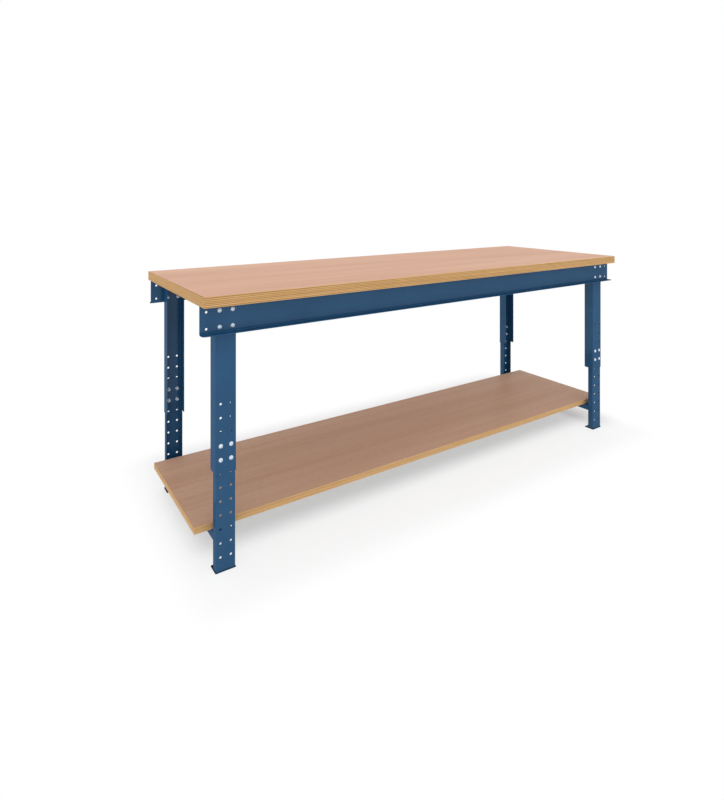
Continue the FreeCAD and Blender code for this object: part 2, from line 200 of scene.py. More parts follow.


# ---- foot plates
# Flat plates of 2.5 mm steel on which the inner legs stand. Like the whole frame they are powder
# coated in workshop blue, a satin coat with the fine orange peel of baked powder. Their coat here is
# a darker copy of that blue: painted shade where they sit on the floor.

CORNERS = ("front_left", "front_right", "back_left", "back_right")


def srgb(red, green, blue):
    """Colour from the 0 to 255 values of a paint card."""
    colour = []
    for value in (red, green, blue):
        share = value / 255.0
        colour.append(share / 12.92 if share <= 0.04045 else ((share + 0.055) / 1.055) ** 2.4)
    return (*colour, 1.0)


def new_finish(name):
    """Material, its node tree, its shader and the coordinates that its pattern reads."""
    finish = bpy.data.materials.new(name)
    finish.use_nodes = True
    tree = finish.node_tree
    return finish, tree, tree.nodes["Principled BSDF"], add(tree, "ShaderNodeTexCoord")


def noise(tree, place, scale, detail=2.0, roughness=0.5, stretch=(1.0, 1.0, 1.0), offset=(0.0, 0.0, 0.0)):
    """Noise on Object coordinates. A stretch under 1 draws it out along that axis."""
    mapping = add(tree, "ShaderNodeMapping", {
        "Vector": place.outputs["Object"],
        "Location": offset,
        "Scale": stretch,
    })
    return add(tree, "ShaderNodeTexNoise", {
        "Vector": mapping.outputs["Vector"],
        "Scale": scale,
        "Detail": detail,
        "Roughness": roughness,
    }).outputs["Fac"]


def ramp(tree, value, *stops):
    """Colour that runs through the stops, each a place from 0 to 1 and its colour."""
    node = add(tree, "ShaderNodeValToRGB", {"Fac": value})
    elements = node.color_ramp.elements
    while len(elements) < len(stops):
        elements.new(1.0)
    for element, (place, colour) in zip(elements, stops):
        element.position = place
        element.color = colour
    return node.outputs["Color"]


def glaze(tree, share, under, over):
    """Colour under with the colour over laid on it as a thin glaze of that share."""
    node = add(tree, "ShaderNodeMix", {"Factor": share}, data_type="RGBA", blend_type="MULTIPLY")
    colour_sockets = [socket for socket in node.inputs if socket.type == "RGBA"]
    for socket, colour in zip(colour_sockets, (under, over)):
        tree.links.new(colour, socket)
    return next(socket for socket in node.outputs if socket.type == "RGBA")


def span(tree, value, low, high):
    """Value from 0 to 1 brought to low to high."""
    node = add(tree, "ShaderNodeMapRange", {"Value": value, "To Min": low, "To Max": high})
    return node.outputs["Result"]


def relief(tree, height, strength, distance):
    """Normal of a surface with that height pattern."""
    node = add(tree, "ShaderNodeBump", {"Height": height, "Strength": strength, "Distance": distance})
    return node.outputs["Normal"]


def feed(tree, shader, **sockets):
    """Links or sets the shader's sockets, named with _ for a space."""
    for name, value in sockets.items():
        socket = shader.inputs[name.replace("_", " ")]
        if isinstance(value, bpy.types.NodeSocket):
            tree.links.new(value, socket)
        else:
            socket.default_value = value


def make_blue_coat(name, dark, light):
    """Powder coat between two near tones, with fine specks and orange peel."""
    finish, tree, shader, place = new_finish(name)
    clouds = noise(tree, place, scale=6.0, detail=3.0)
    dust = noise(tree, place, scale=160.0, detail=3.0, roughness=0.7)
    peel = noise(tree, place, scale=520.0, detail=1.0)
    coat = ramp(tree, clouds, (0.30, dark), (0.70, light))
    specks = ramp(tree, dust, (0.35, srgb(240, 242, 244)), (0.65, WHITE))
    feed(tree, shader,
         Base_Color=glaze(tree, 0.8, coat, specks),
         Roughness=span(tree, dust, low=0.36, high=0.52),
         Normal=relief(tree, peel, strength=0.20, distance=0.0003),
         Specular_IOR_Level=0.0,
         Coat_Weight=0.137,
         Coat_IOR=2.2,
         Coat_Roughness=0.10)
    return finish


def dress(node, finish):
    """The frame's own part keeps its shape and takes the finish."""
    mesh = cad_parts[node].data
    mesh.materials.clear()
    mesh.materials.append(finish)


blue_coat = make_blue_coat("blue_powder_coat", srgb(34, 81, 120), srgb(40, 89, 128))
# painted shade: the foot plates take the blue coat in darker tones
shade_painted_blue_coat = make_blue_coat("shade_painted_blue_powder_coat", srgb(18, 40, 64), srgb(24, 47, 72))
for corner in CORNERS:
    dress("foot_plate_" + corner, shade_painted_blue_coat)


# ---- inner legs
# Channels folded from 2 mm sheet, with two columns of punched holes at the step of the height
# setting. They stand on the foot plates, open to the table's inside.

for corner in CORNERS:
    dress("lower_leg_" + corner, blue_coat)


# ---- foot welds
# A fillet weld runs round the inside of each inner leg, on the foot plate. It is laid by hand in
# small overlapping ripples and is coated with the rest of the frame.

def new_geometry_tree(name, **inputs):
    """Geometry tree with a Geometry input and one more for each name, given as its socket type."""
    tree = bpy.data.node_groups.new(name, "GeometryNodeTree")
    sockets = tree.interface
    sockets.new_socket("Geometry", in_out="INPUT", socket_type="NodeSocketGeometry")
    for label, kind in inputs.items():
        sockets.new_socket(label.replace("_", " "), in_out="INPUT", socket_type="NodeSocket" + kind)
    sockets.new_socket("Geometry", in_out="OUTPUT", socket_type="NodeSocketGeometry")
    return tree, add(tree, "NodeGroupInput").outputs


def end_tree(tree, geometry):
    """The tree, with that geometry as its result."""
    add(tree, "NodeGroupOutput", {"Geometry": geometry})
    return tree


def shaped_by(tree, piece, **sizes):
    """Runs the tree on the piece's mesh with those sizes, and leaves the piece as a plain mesh."""
    modifier = piece.modifiers.new(tree.name, "NODES")
    modifier.node_group = tree
    sockets = {item.name: item.identifier for item in tree.interface.items_tree if item.in_out == "INPUT"}
    for label, value in sizes.items():
        modifier[sockets[label.replace("_", " ")]] = value
    depsgraph = bpy.context.evaluated_depsgraph_get()
    plain = bpy.data.meshes.new_from_object(piece.evaluated_get(depsgraph))
    piece.modifiers.remove(modifier)
    rough = piece.data
    piece.data = plain
    bpy.data.meshes.remove(rough)
    if plain.materials[0] is None:
        plain.materials.pop(index=0)
    plain.name = piece.name
    return piece


def new_piece(name, points=(), edges=()):
    """Piece of those points and edges, at the origin."""
    mesh = bpy.data.meshes.new(name)
    mesh.from_pydata(points, edges, [])
    piece = bpy.data.objects.new(name, mesh)
    scene.collection.objects.link(piece)
    return piece


def new_paths(name, paths):
    """Piece of bare edges, one run through the points of each path."""
    points = []
    edges = []
    for path in paths:
        first = len(points)
        points += path
        edges += [(i, i + 1) for i in range(first, first + len(path) - 1)]
    return new_piece(name, points, edges)


def make_weld_tree():
    """A bead along each path, swollen and drawn in ripple by ripple."""
    bend_steps = 4
    bead_sides = 10
    steps_per_ripple = 5.0
    thinnest = 0.90                # shares of the bead's radius
    thickest = 1.06
    drawn_in_most = 0.22
    tree, given = new_geometry_tree("weld_bead", Radius="Float", Ripple="Float", Corner="Float",
                                    Seed="Int", Finish="Material")
    path = add(tree, "GeometryNodeMeshToCurve", {"Mesh": given["Geometry"]})
    bent = add(tree, "GeometryNodeFilletCurve", {
        "Curve": path.outputs["Curve"], "Radius": given["Corner"], "Count": bend_steps}, mode="POLY")
    fine = add(tree, "GeometryNodeResampleCurve", {
        "Curve": bent.outputs["Curve"],
        "Length": calc(tree, "DIVIDE", given["Ripple"], steps_per_ripple),
    }, mode="LENGTH")
    along = add(tree, "GeometryNodeSplineParameter").outputs["Length"]
    ripple = calc(tree, "FRACT", calc(tree, "DIVIDE", along, given["Ripple"]))
    swell = add(tree, "FunctionNodeRandomValue", {
        2: thinnest, 3: thickest, "Seed": given["Seed"]}, data_type="FLOAT")
    drawn_in = calc(tree, "MULTIPLY", calc(tree, "POWER", ripple, 2.0), drawn_in_most)
    radius = calc(tree, "MULTIPLY", given["Radius"], calc(tree, "SUBTRACT", swell.outputs[1], drawn_in))
    section = add(tree, "GeometryNodeCurvePrimitiveCircle", {
        "Resolution": bead_sides, "Radius": 1.0}, mode="RADIUS")
    bead = add(tree, "GeometryNodeCurveToMesh", {
        "Curve": fine.outputs["Curve"], "Profile Curve": section.outputs["Curve"], "Scale": radius,
        "Fill Caps": True})
    smooth = add(tree, "GeometryNodeSetShadeSmooth", {"Geometry": bead.outputs["Mesh"]})
    real = add(tree, "GeometryNodeRealizeInstances", {"Geometry": smooth.outputs["Geometry"]})
    coated = add(tree, "GeometryNodeSetMaterial", {
        "Geometry": real.outputs["Geometry"], "Material": given["Finish"]})
    return end_tree(tree, coated.outputs["Geometry"])


SHEET = 0.002                      # leg and cross member sheet
BEND = 0.002                       # inside radius of its bends
weld_tree = make_weld_tree()
weld_radius = 0.0017
weld_ripple = 0.0018


def weld(name, paths, body, seed):
    """Coated weld beads along the paths, riding on the body."""
    beads = shaped_by(weld_tree, new_paths(name, paths), Radius=weld_radius, Ripple=weld_ripple,
                      Corner=BEND, Seed=seed, Finish=blue_coat)
    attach(beads, body)


def foot_weld_path(corner):
    """From one flange tip along the inside of the channel to the other, on the plate."""
    low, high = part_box("lower_leg_" + corner)
    inward = 1.0 if "front" in corner else -1.0
    web_y = (low.y if inward > 0 else high.y) + inward * SHEET
    tip_y = (high.y if inward > 0 else low.y) - inward * SHEET
    left = low.x + SHEET
    right = high.x - SHEET
    return [(left, tip_y, low.z), (left, web_y, low.z), (right, web_y, low.z), (right, tip_y, low.z)]


weld("foot_welds", [foot_weld_path(corner) for corner in CORNERS], "lower_frame", seed=3)


# ---- shelf bearers
# Folded channels, open below, that join each front inner leg to the back one and carry the shelf.
# Their ends are welded to the webs of the legs, on top and in the corners underneath.

ENDS = ("left", "right")


def bearer_weld_paths(end):
    """Across the top at both legs, and down the four corners underneath."""
    low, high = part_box("shelf_bearer_" + end)
    side = BEND + SHEET
    paths = []
    for y in (low.y, high.y):
        paths.append([(low.x + side, y, high.z), (high.x - side, y, high.z)])
        for x in (low.x + SHEET, high.x - SHEET):
            paths.append([(x, y, low.z + SHEET), (x, y, high.z - side)])
    return paths


for end in ENDS:
    dress("shelf_bearer_" + end, blue_coat)
weld("shelf_bearer_welds", [path for end in ENDS for path in bearer_weld_paths(end)], "lower_frame", seed=5)


# ---- shelf
# Beech multiplex 25 mm thick: an odd number of rotary-cut veneers glued crosswise under heat, sanded
# on its faces and edges. It lies on the bearers and is held by screws from below.

def make_board_tree():
    """Board from its sizes: a side profile with a fine groove at each glue line, swept round the outline.

    The faces, the edges where a ply's grain runs along, and those where it is cut across get a finish each.
    """
    points_per_ply = 3.0           # on the glue line below the ply, on its lower rim and on its upper rim
    corner_steps = 4
    near = 0.5                     # whole numbers less than this apart are the same
    closing_gap = 1e-5
    least_end_normal = 0.7         # part of the normal along X from which a side is an end
    least_face_normal = 0.9        # and along Z from which it is the top or the underside
    tree, given = new_geometry_tree(
        "multiplex_board", Length="Float", Depth="Float", Thickness="Float", Underside="Float",
        Plies="Int", Edge_Ease="Float", Corner_Radius="Float", Glue_Groove="Float",
        Face_Finish="Material", Along_Finish="Material", Across_Finish="Material")
    ply = calc(tree, "DIVIDE", given["Thickness"], given["Plies"])
    top_z = calc(tree, "ADD", given["Underside"], given["Thickness"])

    # side profile, from the underside up
    count = calc(tree, "MULTIPLY_ADD", given["Plies"], points_per_ply, 1.0)
    blank = add(tree, "GeometryNodeCurvePrimitiveLine")
    points = add(tree, "GeometryNodeResampleCurve", {"Curve": blank.outputs["Curve"], "Count": count})
    index = add(tree, "GeometryNodeInputIndex").outputs[0]
    number = calc(tree, "FLOOR", calc(tree, "DIVIDE", index, points_per_ply))
    place = calc(tree, "MODULO", index, points_per_ply)
    is_glue = calc(tree, "COMPARE", place, 0.0, near)
    is_rim_below = calc(tree, "COMPARE", place, 1.0, near)
    is_rim_above = calc(tree, "COMPARE", place, 2.0, near)
    last = calc(tree, "SUBTRACT", count, 1.0)
    at_bottom = calc(tree, "LESS_THAN", index, 1.0 + near)
    at_top = calc(tree, "GREATER_THAN", index, calc(tree, "SUBTRACT", last, 1.0 + near))
    at_arris = calc(tree, "MAXIMUM", at_bottom, at_top)
    cut = calc(tree, "ADD",
               calc(tree, "MULTIPLY", at_arris, given["Edge Ease"]),
               calc(tree, "MULTIPLY", calc(tree, "SUBTRACT", 1.0, at_arris), given["Glue Groove"]))
    inset = calc(tree, "MULTIPLY", is_glue, cut)
    rise = calc(tree, "MULTIPLY", number, ply)
    rise = calc(tree, "ADD", rise, calc(tree, "MULTIPLY", is_rim_below, cut))
    rise = calc(tree, "ADD", rise, calc(tree, "MULTIPLY", is_rim_above, calc(tree, "SUBTRACT", ply, cut)))
    profile_point = add(tree, "ShaderNodeCombineXYZ", {
        "X": calc(tree, "MULTIPLY", inset, -1.0), "Y": calc(tree, "MULTIPLY", rise, -1.0)})
    profile = add(tree, "GeometryNodeSetPosition", {
        "Geometry": points.outputs["Curve"], "Position": profile_point.outputs[0]})

    # outline, and the side walls swept along it
    outline = add(tree, "GeometryNodeCurvePrimitiveQuadrilateral", {
        "Width": given["Length"], "Height": given["Depth"]}, mode="RECTANGLE")
    rounded = add(tree, "GeometryNodeFilletCurve", {
        "Curve": outline.outputs["Curve"], "Radius": given["Corner Radius"], "Count": corner_steps,
    }, mode="POLY")
    walls = add(tree, "GeometryNodeCurveToMesh", {
        "Curve": rounded.outputs["Curve"], "Profile Curve": profile.outputs["Geometry"]})
    outward = add(tree, "GeometryNodeFlipFaces", {"Mesh": walls.outputs["Mesh"]})
    base = add(tree, "ShaderNodeCombineXYZ", {"Z": given["Underside"]})
    raised = add(tree, "GeometryNodeTransform", {
        "Geometry": outward.outputs["Mesh"], "Translation": base.outputs[0]})

    # top and underside fill the walls' open rims
    position = add(tree, "GeometryNodeInputPosition")
    height = add(tree, "ShaderNodeSeparateXYZ", {0: position.outputs[0]}).outputs["Z"]
    middle = calc(tree, "MULTIPLY_ADD", given["Thickness"], 0.5, given["Underside"])
    is_upper = calc(tree, "GREATER_THAN", height, middle)
    is_lower = calc(tree, "LESS_THAN", height, middle)
    neighbours = add(tree, "GeometryNodeInputMeshEdgeNeighbors").outputs[0]
    is_open = calc(tree, "LESS_THAN", neighbours, 1.0 + near)
    parts = [raised.outputs["Geometry"]]
    for is_here, face_z, is_flipped in ((is_upper, top_z, False), (is_lower, given["Underside"], True)):
        rim = add(tree, "GeometryNodeMeshToCurve", {
            "Mesh": raised.outputs["Geometry"], "Selection": calc(tree, "MULTIPLY", is_here, is_open)})
        fill = add(tree, "GeometryNodeFillCurve", {"Curve": rim.outputs["Curve"]}, mode="NGONS")
        lift = add(tree, "ShaderNodeCombineXYZ", {"Z": face_z})
        face = add(tree, "GeometryNodeTransform", {
            "Geometry": fill.outputs["Mesh"], "Translation": lift.outputs[0]}).outputs["Geometry"]
        if is_flipped:
            face = add(tree, "GeometryNodeFlipFaces", {"Mesh": face}).outputs["Mesh"]
        parts.append(face)
    joined = add(tree, "GeometryNodeJoinGeometry")
    for part in reversed(parts):
        tree.links.new(part, joined.inputs[0])
    closed = add(tree, "GeometryNodeMergeByDistance", {
        "Geometry": joined.outputs["Geometry"], "Distance": closing_gap})
    flat = add(tree, "GeometryNodeSetShadeSmooth", {
        "Geometry": closed.outputs["Geometry"], "Shade Smooth": False})

    # every second ply runs across the board, and an end shows each ply the other way round
    normal = add(tree, "ShaderNodeSeparateXYZ", {0: add(tree, "GeometryNodeInputNormal").outputs[0]})
    rise_here = calc(tree, "SUBTRACT", height, given["Underside"])
    is_cross_ply = calc(tree, "MODULO", calc(tree, "FLOOR", calc(tree, "DIVIDE", rise_here, ply)), 2.0)
    is_end = calc(tree, "GREATER_THAN", calc(tree, "ABSOLUTE", normal.outputs["X"]), least_end_normal)
    is_across = calc(tree, "COMPARE", calc(tree, "ADD", is_cross_ply, is_end), 1.0, near)
    is_face = calc(tree, "GREATER_THAN", calc(tree, "ABSOLUTE", normal.outputs["Z"]), least_face_normal)
    real = add(tree, "GeometryNodeRealizeInstances", {"Geometry": flat.outputs["Geometry"]})
    last_step = real.outputs["Geometry"]
    for chosen, finish in ((True, "Along Finish"), (is_across, "Across Finish"), (is_face, "Face Finish")):
        last_step = add(tree, "GeometryNodeSetMaterial", {
            "Geometry": last_step, "Selection": chosen, "Material": given[finish]}).outputs["Geometry"]
    return end_tree(tree, last_step)


FACE_GLOSS = 0.06                  # specular level of a board's faces
EDGE_GLOSS = 0.16                  # and of its edges
PORE_DEPTH = 0.0002


def make_beech_face(name, dark, middle, light):
    """Beech veneer in three near tones: broad soft bands, faint streaks and fine short flecks."""
    finish, tree, shader, place = new_finish(name)
    bands = noise(tree, place, scale=3.0, detail=2.0, stretch=(0.20, 2.4, 2.4))
    lines = noise(tree, place, scale=16.0, detail=5.0, roughness=0.65, stretch=(0.04, 3.0, 3.0))
    rays = noise(tree, place, scale=420.0, detail=1.0, stretch=(0.20, 1.5, 1.5), offset=(0.3, 0.1, 0.0))
    flecks = noise(tree, place, scale=900.0, detail=2.0, stretch=(0.10, 1.6, 1.6))
    tone = ramp(tree, bands, (0.28, dark), (0.50, middle), (0.72, light))
    streaks = ramp(tree, lines, (0.30, srgb(235, 230, 228)), (0.60, WHITE))
    spindles = ramp(tree, rays, (0.26, srgb(212, 192, 181)), (0.36, WHITE))
    pores = ramp(tree, flecks, (0.30, srgb(230, 222, 217)), (0.55, WHITE))
    wood = glaze(tree, 0.55, tone, streaks)
    wood = glaze(tree, 0.60, wood, spindles)
    feed(tree, shader,
         Base_Color=glaze(tree, 0.60, wood, pores),
         Roughness=span(tree, lines, low=0.38, high=0.50),
         Normal=relief(tree, flecks, strength=0.10, distance=PORE_DEPTH),
         Specular_IOR_Level=FACE_GLOSS)
    return finish


def tone_of_each_ply(tree, place, darkest):
    """Tone that changes a little from ply to ply and hardly along a ply."""
    plies = noise(tree, place, scale=330.0, detail=0.0, stretch=(0.004, 0.004, 1.0))
    return ramp(tree, plies, (0.30, darkest), (0.70, WHITE))


def make_ply_along(name, dark, light):
    """Sanded edge of a ply whose grain runs along the edge: light, with long fine streaks."""
    finish, tree, shader, place = new_finish(name)
    streaks = noise(tree, place, scale=60.0, detail=4.0, roughness=0.6, stretch=(0.12, 0.12, 8.0))
    tone = ramp(tree, streaks, (0.30, dark), (0.70, light))
    feed(tree, shader,
         Base_Color=glaze(tree, 1.0, tone, tone_of_each_ply(tree, place, srgb(238, 234, 228))),
         Roughness=span(tree, streaks, low=0.50, high=0.66),
         Normal=relief(tree, streaks, strength=0.10, distance=PORE_DEPTH),
         Specular_IOR_Level=EDGE_GLOSS)
    return finish


def make_ply_across(name, dark, light):
    """Sanded end grain of a ply: darker, with the open pores as fine dots."""
    finish, tree, shader, place = new_finish(name)
    pores = noise(tree, place, scale=1500.0, detail=2.0, stretch=(1.0, 1.0, 0.7))
    stain = noise(tree, place, scale=14.0, detail=3.0, stretch=(1.0, 1.0, 4.0))
    tone = ramp(tree, pores, (0.32, dark), (0.60, light))
    blotches = ramp(tree, stain, (0.35, srgb(240, 234, 228)), (0.65, WHITE))
    wood = glaze(tree, 1.0, tone, tone_of_each_ply(tree, place, srgb(232, 226, 220)))
    feed(tree, shader,
         Base_Color=glaze(tree, 0.8, wood, blotches),
         Roughness=span(tree, pores, low=0.58, high=0.74),
         Normal=relief(tree, pores, strength=0.25, distance=PORE_DEPTH),
         Specular_IOR_Level=EDGE_GLOSS)
    return finish


GLUE_GROOVE = 0.00012
board_tree = make_board_tree()


def multiplex_board(name, node, body, plies, ease, corner_radius, face, along, across):
    """Board in the place of the frame's node of plain shape."""
    low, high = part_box(node)
    board = shaped_by(
        board_tree, new_piece(name),
        Length=high.x - low.x, Depth=high.y - low.y, Thickness=high.z - low.z, Underside=low.z,
        Plies=plies, Edge_Ease=ease, Corner_Radius=corner_radius, Glue_Groove=GLUE_GROOVE,
        Face_Finish=face, Along_Finish=along, Across_Finish=across)
    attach(board, body)
    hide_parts(node)


# Painted shade: the shelf's faces get darker, less red beech tones than the worktop's, for the shade under
# the worktop.
multiplex_board(
    "shelf_board", "shelf", "lower_frame",
    plies=9, ease=0.001, corner_radius=0.0015,
    face=make_beech_face("shelf_face_painted_shade", srgb(197, 159, 133), srgb(201, 164, 139), srgb(204, 169, 145)),
    along=make_ply_along("shelf_ply_along_grain", srgb(220, 178, 124), srgb(236, 196, 142)),
    across=make_ply_across("shelf_ply_end_grain", srgb(204, 158, 102), srgb(224, 180, 124)))


# ---- shelf screws
# Pan-head wood screws of galvanised steel, with a cross recess. They are driven up through the
# bearers into the shelf, three to each bearer.

def make_zinc():
    """Bright zinc plating with a bluish passivation, a little cloudy."""
    finish, tree, shader, place = new_finish("zinc_plating")
    clouds = noise(tree, place, scale=220.0, detail=2.0)
    grain = noise(tree, place, scale=2400.0, detail=1.0)
    feed(tree, shader,
         Base_Color=ramp(tree, clouds, (0.30, srgb(224, 237, 250)), (0.70, srgb(234, 244, 254))),
         Metallic=0.50,
         Roughness=span(tree, clouds, low=0.40, high=0.54),
         Normal=relief(tree, grain, strength=0.10, distance=0.0001))
    return finish


zinc = make_zinc()
dress("shelf_screws", zinc)


# ---- outer legs
# Channels folded from 2 mm sheet that slide over the inner legs, with punched holes for the height
# bolts at their foot and for the rail bolts at their head.

for corner in CORNERS:
    dress("upper_leg_" + corner, blue_coat)


# ---- top cross members
# Folded channels under the board that join each front outer leg to the back one. They are welded
# to the webs of the legs from below.

def top_cross_weld_paths(end):
    """Across the cross member's underside, at both legs."""
    low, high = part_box("top_cross_member_" + end)
    side = SHEET + BEND
    under = high.z - SHEET
    return [[(low.x + side, y, under), (high.x - side, y, under)] for y in (low.y, high.y)]


for end in ENDS:
    dress("top_cross_member_" + end, blue_coat)
weld("top_cross_member_welds", [path for end in ENDS for path in top_cross_weld_paths(end)],
     "upper_frame", seed=7)


# ---- height bolts
# M8 button-head bolts with a hexagon socket that hold each outer leg at its height on the inner
# one. Each has a washer under its head, and a washer and a nut inside the leg, all zinc plated.

M8_RADIUS = 0.0040
M8_LENGTH = 0.020
THREAD_PITCH = 0.00125
THREAD_DEPTH = 0.00060
THREADED = 0.0115                  # length of the thread that shows past the leg
TIP_CHAMFER = 0.0008
HEAD_RADIUS = 0.0070
HEAD_HEIGHT = 0.0044
HEAD_RIM = 0.0008                  # straight edge under the dome
SOCKET_ACROSS = 0.0050
SOCKET_FLOOR = 0.0018              # above the underside of the head
WASHER_RADIUS = 0.0080
WASHER_BORE = 0.0042
WASHER_THICK = 0.0016
NUT_ACROSS = 0.0130
NUT_HEIGHT = 0.0065


def even_angles(count):
    """That many directions round the Z axis."""
    return [math.tau * i / count for i in range(count)]


def polar(radius, angle, z):
    return (radius * math.cos(angle), radius * math.sin(angle), z)


def circle(angles, radius, z):
    """Ring of points round the Z axis, one in each direction."""
    return [polar(radius, angle, z) for angle in angles]


def hexagon_reach(across, angle):
    """From the middle of a hexagon to its outline in that direction."""
    off_flat = (angle + math.pi / 6) % (math.pi / 3) - math.pi / 6
    return across / 2 / math.cos(off_flat)


def lathed(name, rings, bored=False):
    """Mesh through rings of equally many points: capped at both ends, or closed on itself round a bore."""
    shell = bmesh.new()
    loops = [[shell.verts.new(point) for point in ring] for ring in rings]
    following = loops[1:] + loops[:1] if bored else loops[1:]
    for one, other in zip(loops, following):
        for i in range(len(one)):
            shell.faces.new((one[i - 1], one[i], other[i], other[i - 1]))
    if not bored:
        shell.faces.new(loops[0])
        shell.faces.new(loops[-1])
    bmesh.ops.recalc_face_normals(shell, faces=shell.faces)
    mesh = bpy.data.meshes.new(name)
    shell.to_mesh(mesh)
    shell.free()
    return mesh


def make_bolt_blank():
    """Bolt on the Z axis: the underside of its head is at 0, and its thread runs down."""
    angles = even_angles(24)
    rows_per_pitch = 4
    crest_width = 1.3              # over 1, so that the crests come out flat
    rim_round = 0.0002             # of the head's lower edge
    dome_shares = (0.97, 0.89, 0.77, 0.62, 0.47)
    mouth_wider = 0.0003           # the socket's mouth is chamfered
    mouth_depth = 0.0007
    drill_point = 0.0004           # cone that the drill leaves under the socket
    drill_depth = 0.0006

    def thread(z):
        ring = []
        for angle in angles:
            turn = (z / THREAD_PITCH - angle / math.tau) % 1.0
            crest = min(1.0, crest_width * (1.0 - abs(2.0 * turn - 1.0)))
            ring.append(polar(M8_RADIUS - THREAD_DEPTH * (1.0 - crest), angle, z))
        return ring

    dome = HEAD_HEIGHT - HEAD_RIM
    dome_radius = (HEAD_RADIUS ** 2 + dome ** 2) / (2 * dome)

    def dome_z(radius):
        return HEAD_RIM + dome - dome_radius + math.sqrt(dome_radius ** 2 - radius ** 2)

    def socket(across, z=None):
        ring = []
        for angle in angles:
            reach = hexagon_reach(across, angle)
            ring.append(polar(reach, angle, dome_z(reach) if z is None else z))
        return ring

    rings = [circle(angles, M8_RADIUS - TIP_CHAMFER, -M8_LENGTH)]
    for row in range(round(rows_per_pitch * THREADED / THREAD_PITCH)):
        rings.append(thread(TIP_CHAMFER - M8_LENGTH + row * THREAD_PITCH / rows_per_pitch))
    rings.append(circle(angles, M8_RADIUS, THREADED - M8_LENGTH + THREAD_PITCH))
    rings.append(circle(angles, M8_RADIUS, 0.0))
    rings.append(circle(angles, HEAD_RADIUS - rim_round, 0.0))
    rings.append(circle(angles, HEAD_RADIUS, rim_round))
    rings.append(circle(angles, HEAD_RADIUS, HEAD_RIM))
    for share in dome_shares:
        rings.append(circle(angles, HEAD_RADIUS * share, dome_z(HEAD_RADIUS * share)))
    rings.append(socket(SOCKET_ACROSS + mouth_wider))
    rings.append(socket(SOCKET_ACROSS, HEAD_HEIGHT - mouth_depth))
    rings.append(socket(SOCKET_ACROSS, SOCKET_FLOOR))
    rings.append(circle(angles, drill_point, SOCKET_FLOOR - drill_depth))
    return lathed("m8_bolt", rings)


def make_washer_blank():
    """Punched washer that rises from 0, with the round edge of the punch on its upper side."""
    angles = even_angles(32)
    lower_edge = 0.00010
    middle_edge = 0.00012
    upper_edge = 0.00035
    bore_edge = 0.00020
    section = (
        (WASHER_BORE, 0.0),
        (WASHER_RADIUS - lower_edge, 0.0),
        (WASHER_RADIUS, middle_edge),
        (WASHER_RADIUS, WASHER_THICK - upper_edge),
        (WASHER_RADIUS - middle_edge, WASHER_THICK - middle_edge),
        (WASHER_RADIUS - upper_edge, WASHER_THICK),
        (WASHER_BORE + bore_edge, WASHER_THICK),
        (WASHER_BORE, WASHER_THICK - bore_edge),
    )
    return lathed("m8_washer", [circle(angles, radius, z) for radius, z in section], bored=True)


def make_nut_blank():
    """Hexagon nut that rises from 0. Both faces are turned to a cone that cuts the corners back."""
    angles = even_angles(36)
    flat = NUT_ACROSS / 2
    turned = flat * 0.985          # where the flat face ends and the cone starts
    cone = math.tan(math.radians(30.0))
    lead = 0.0005                  # chamfer of the bore

    def corners(z, sense):
        ring = []
        for angle in angles:
            reach = hexagon_reach(NUT_ACROSS, angle)
            ring.append(polar(reach, angle, z + sense * cone * (reach - flat)))
        return ring

    return lathed("m8_nut", [
        circle(angles, M8_RADIUS, lead),
        circle(angles, M8_RADIUS + lead, 0.0),
        circle(angles, turned, 0.0),
        corners(0.0, 1),
        corners(NUT_HEIGHT, -1),
        circle(angles, turned, NUT_HEIGHT),
        circle(angles, M8_RADIUS + lead, NUT_HEIGHT),
        circle(angles, M8_RADIUS, NUT_HEIGHT - lead),
    ], bored=True)


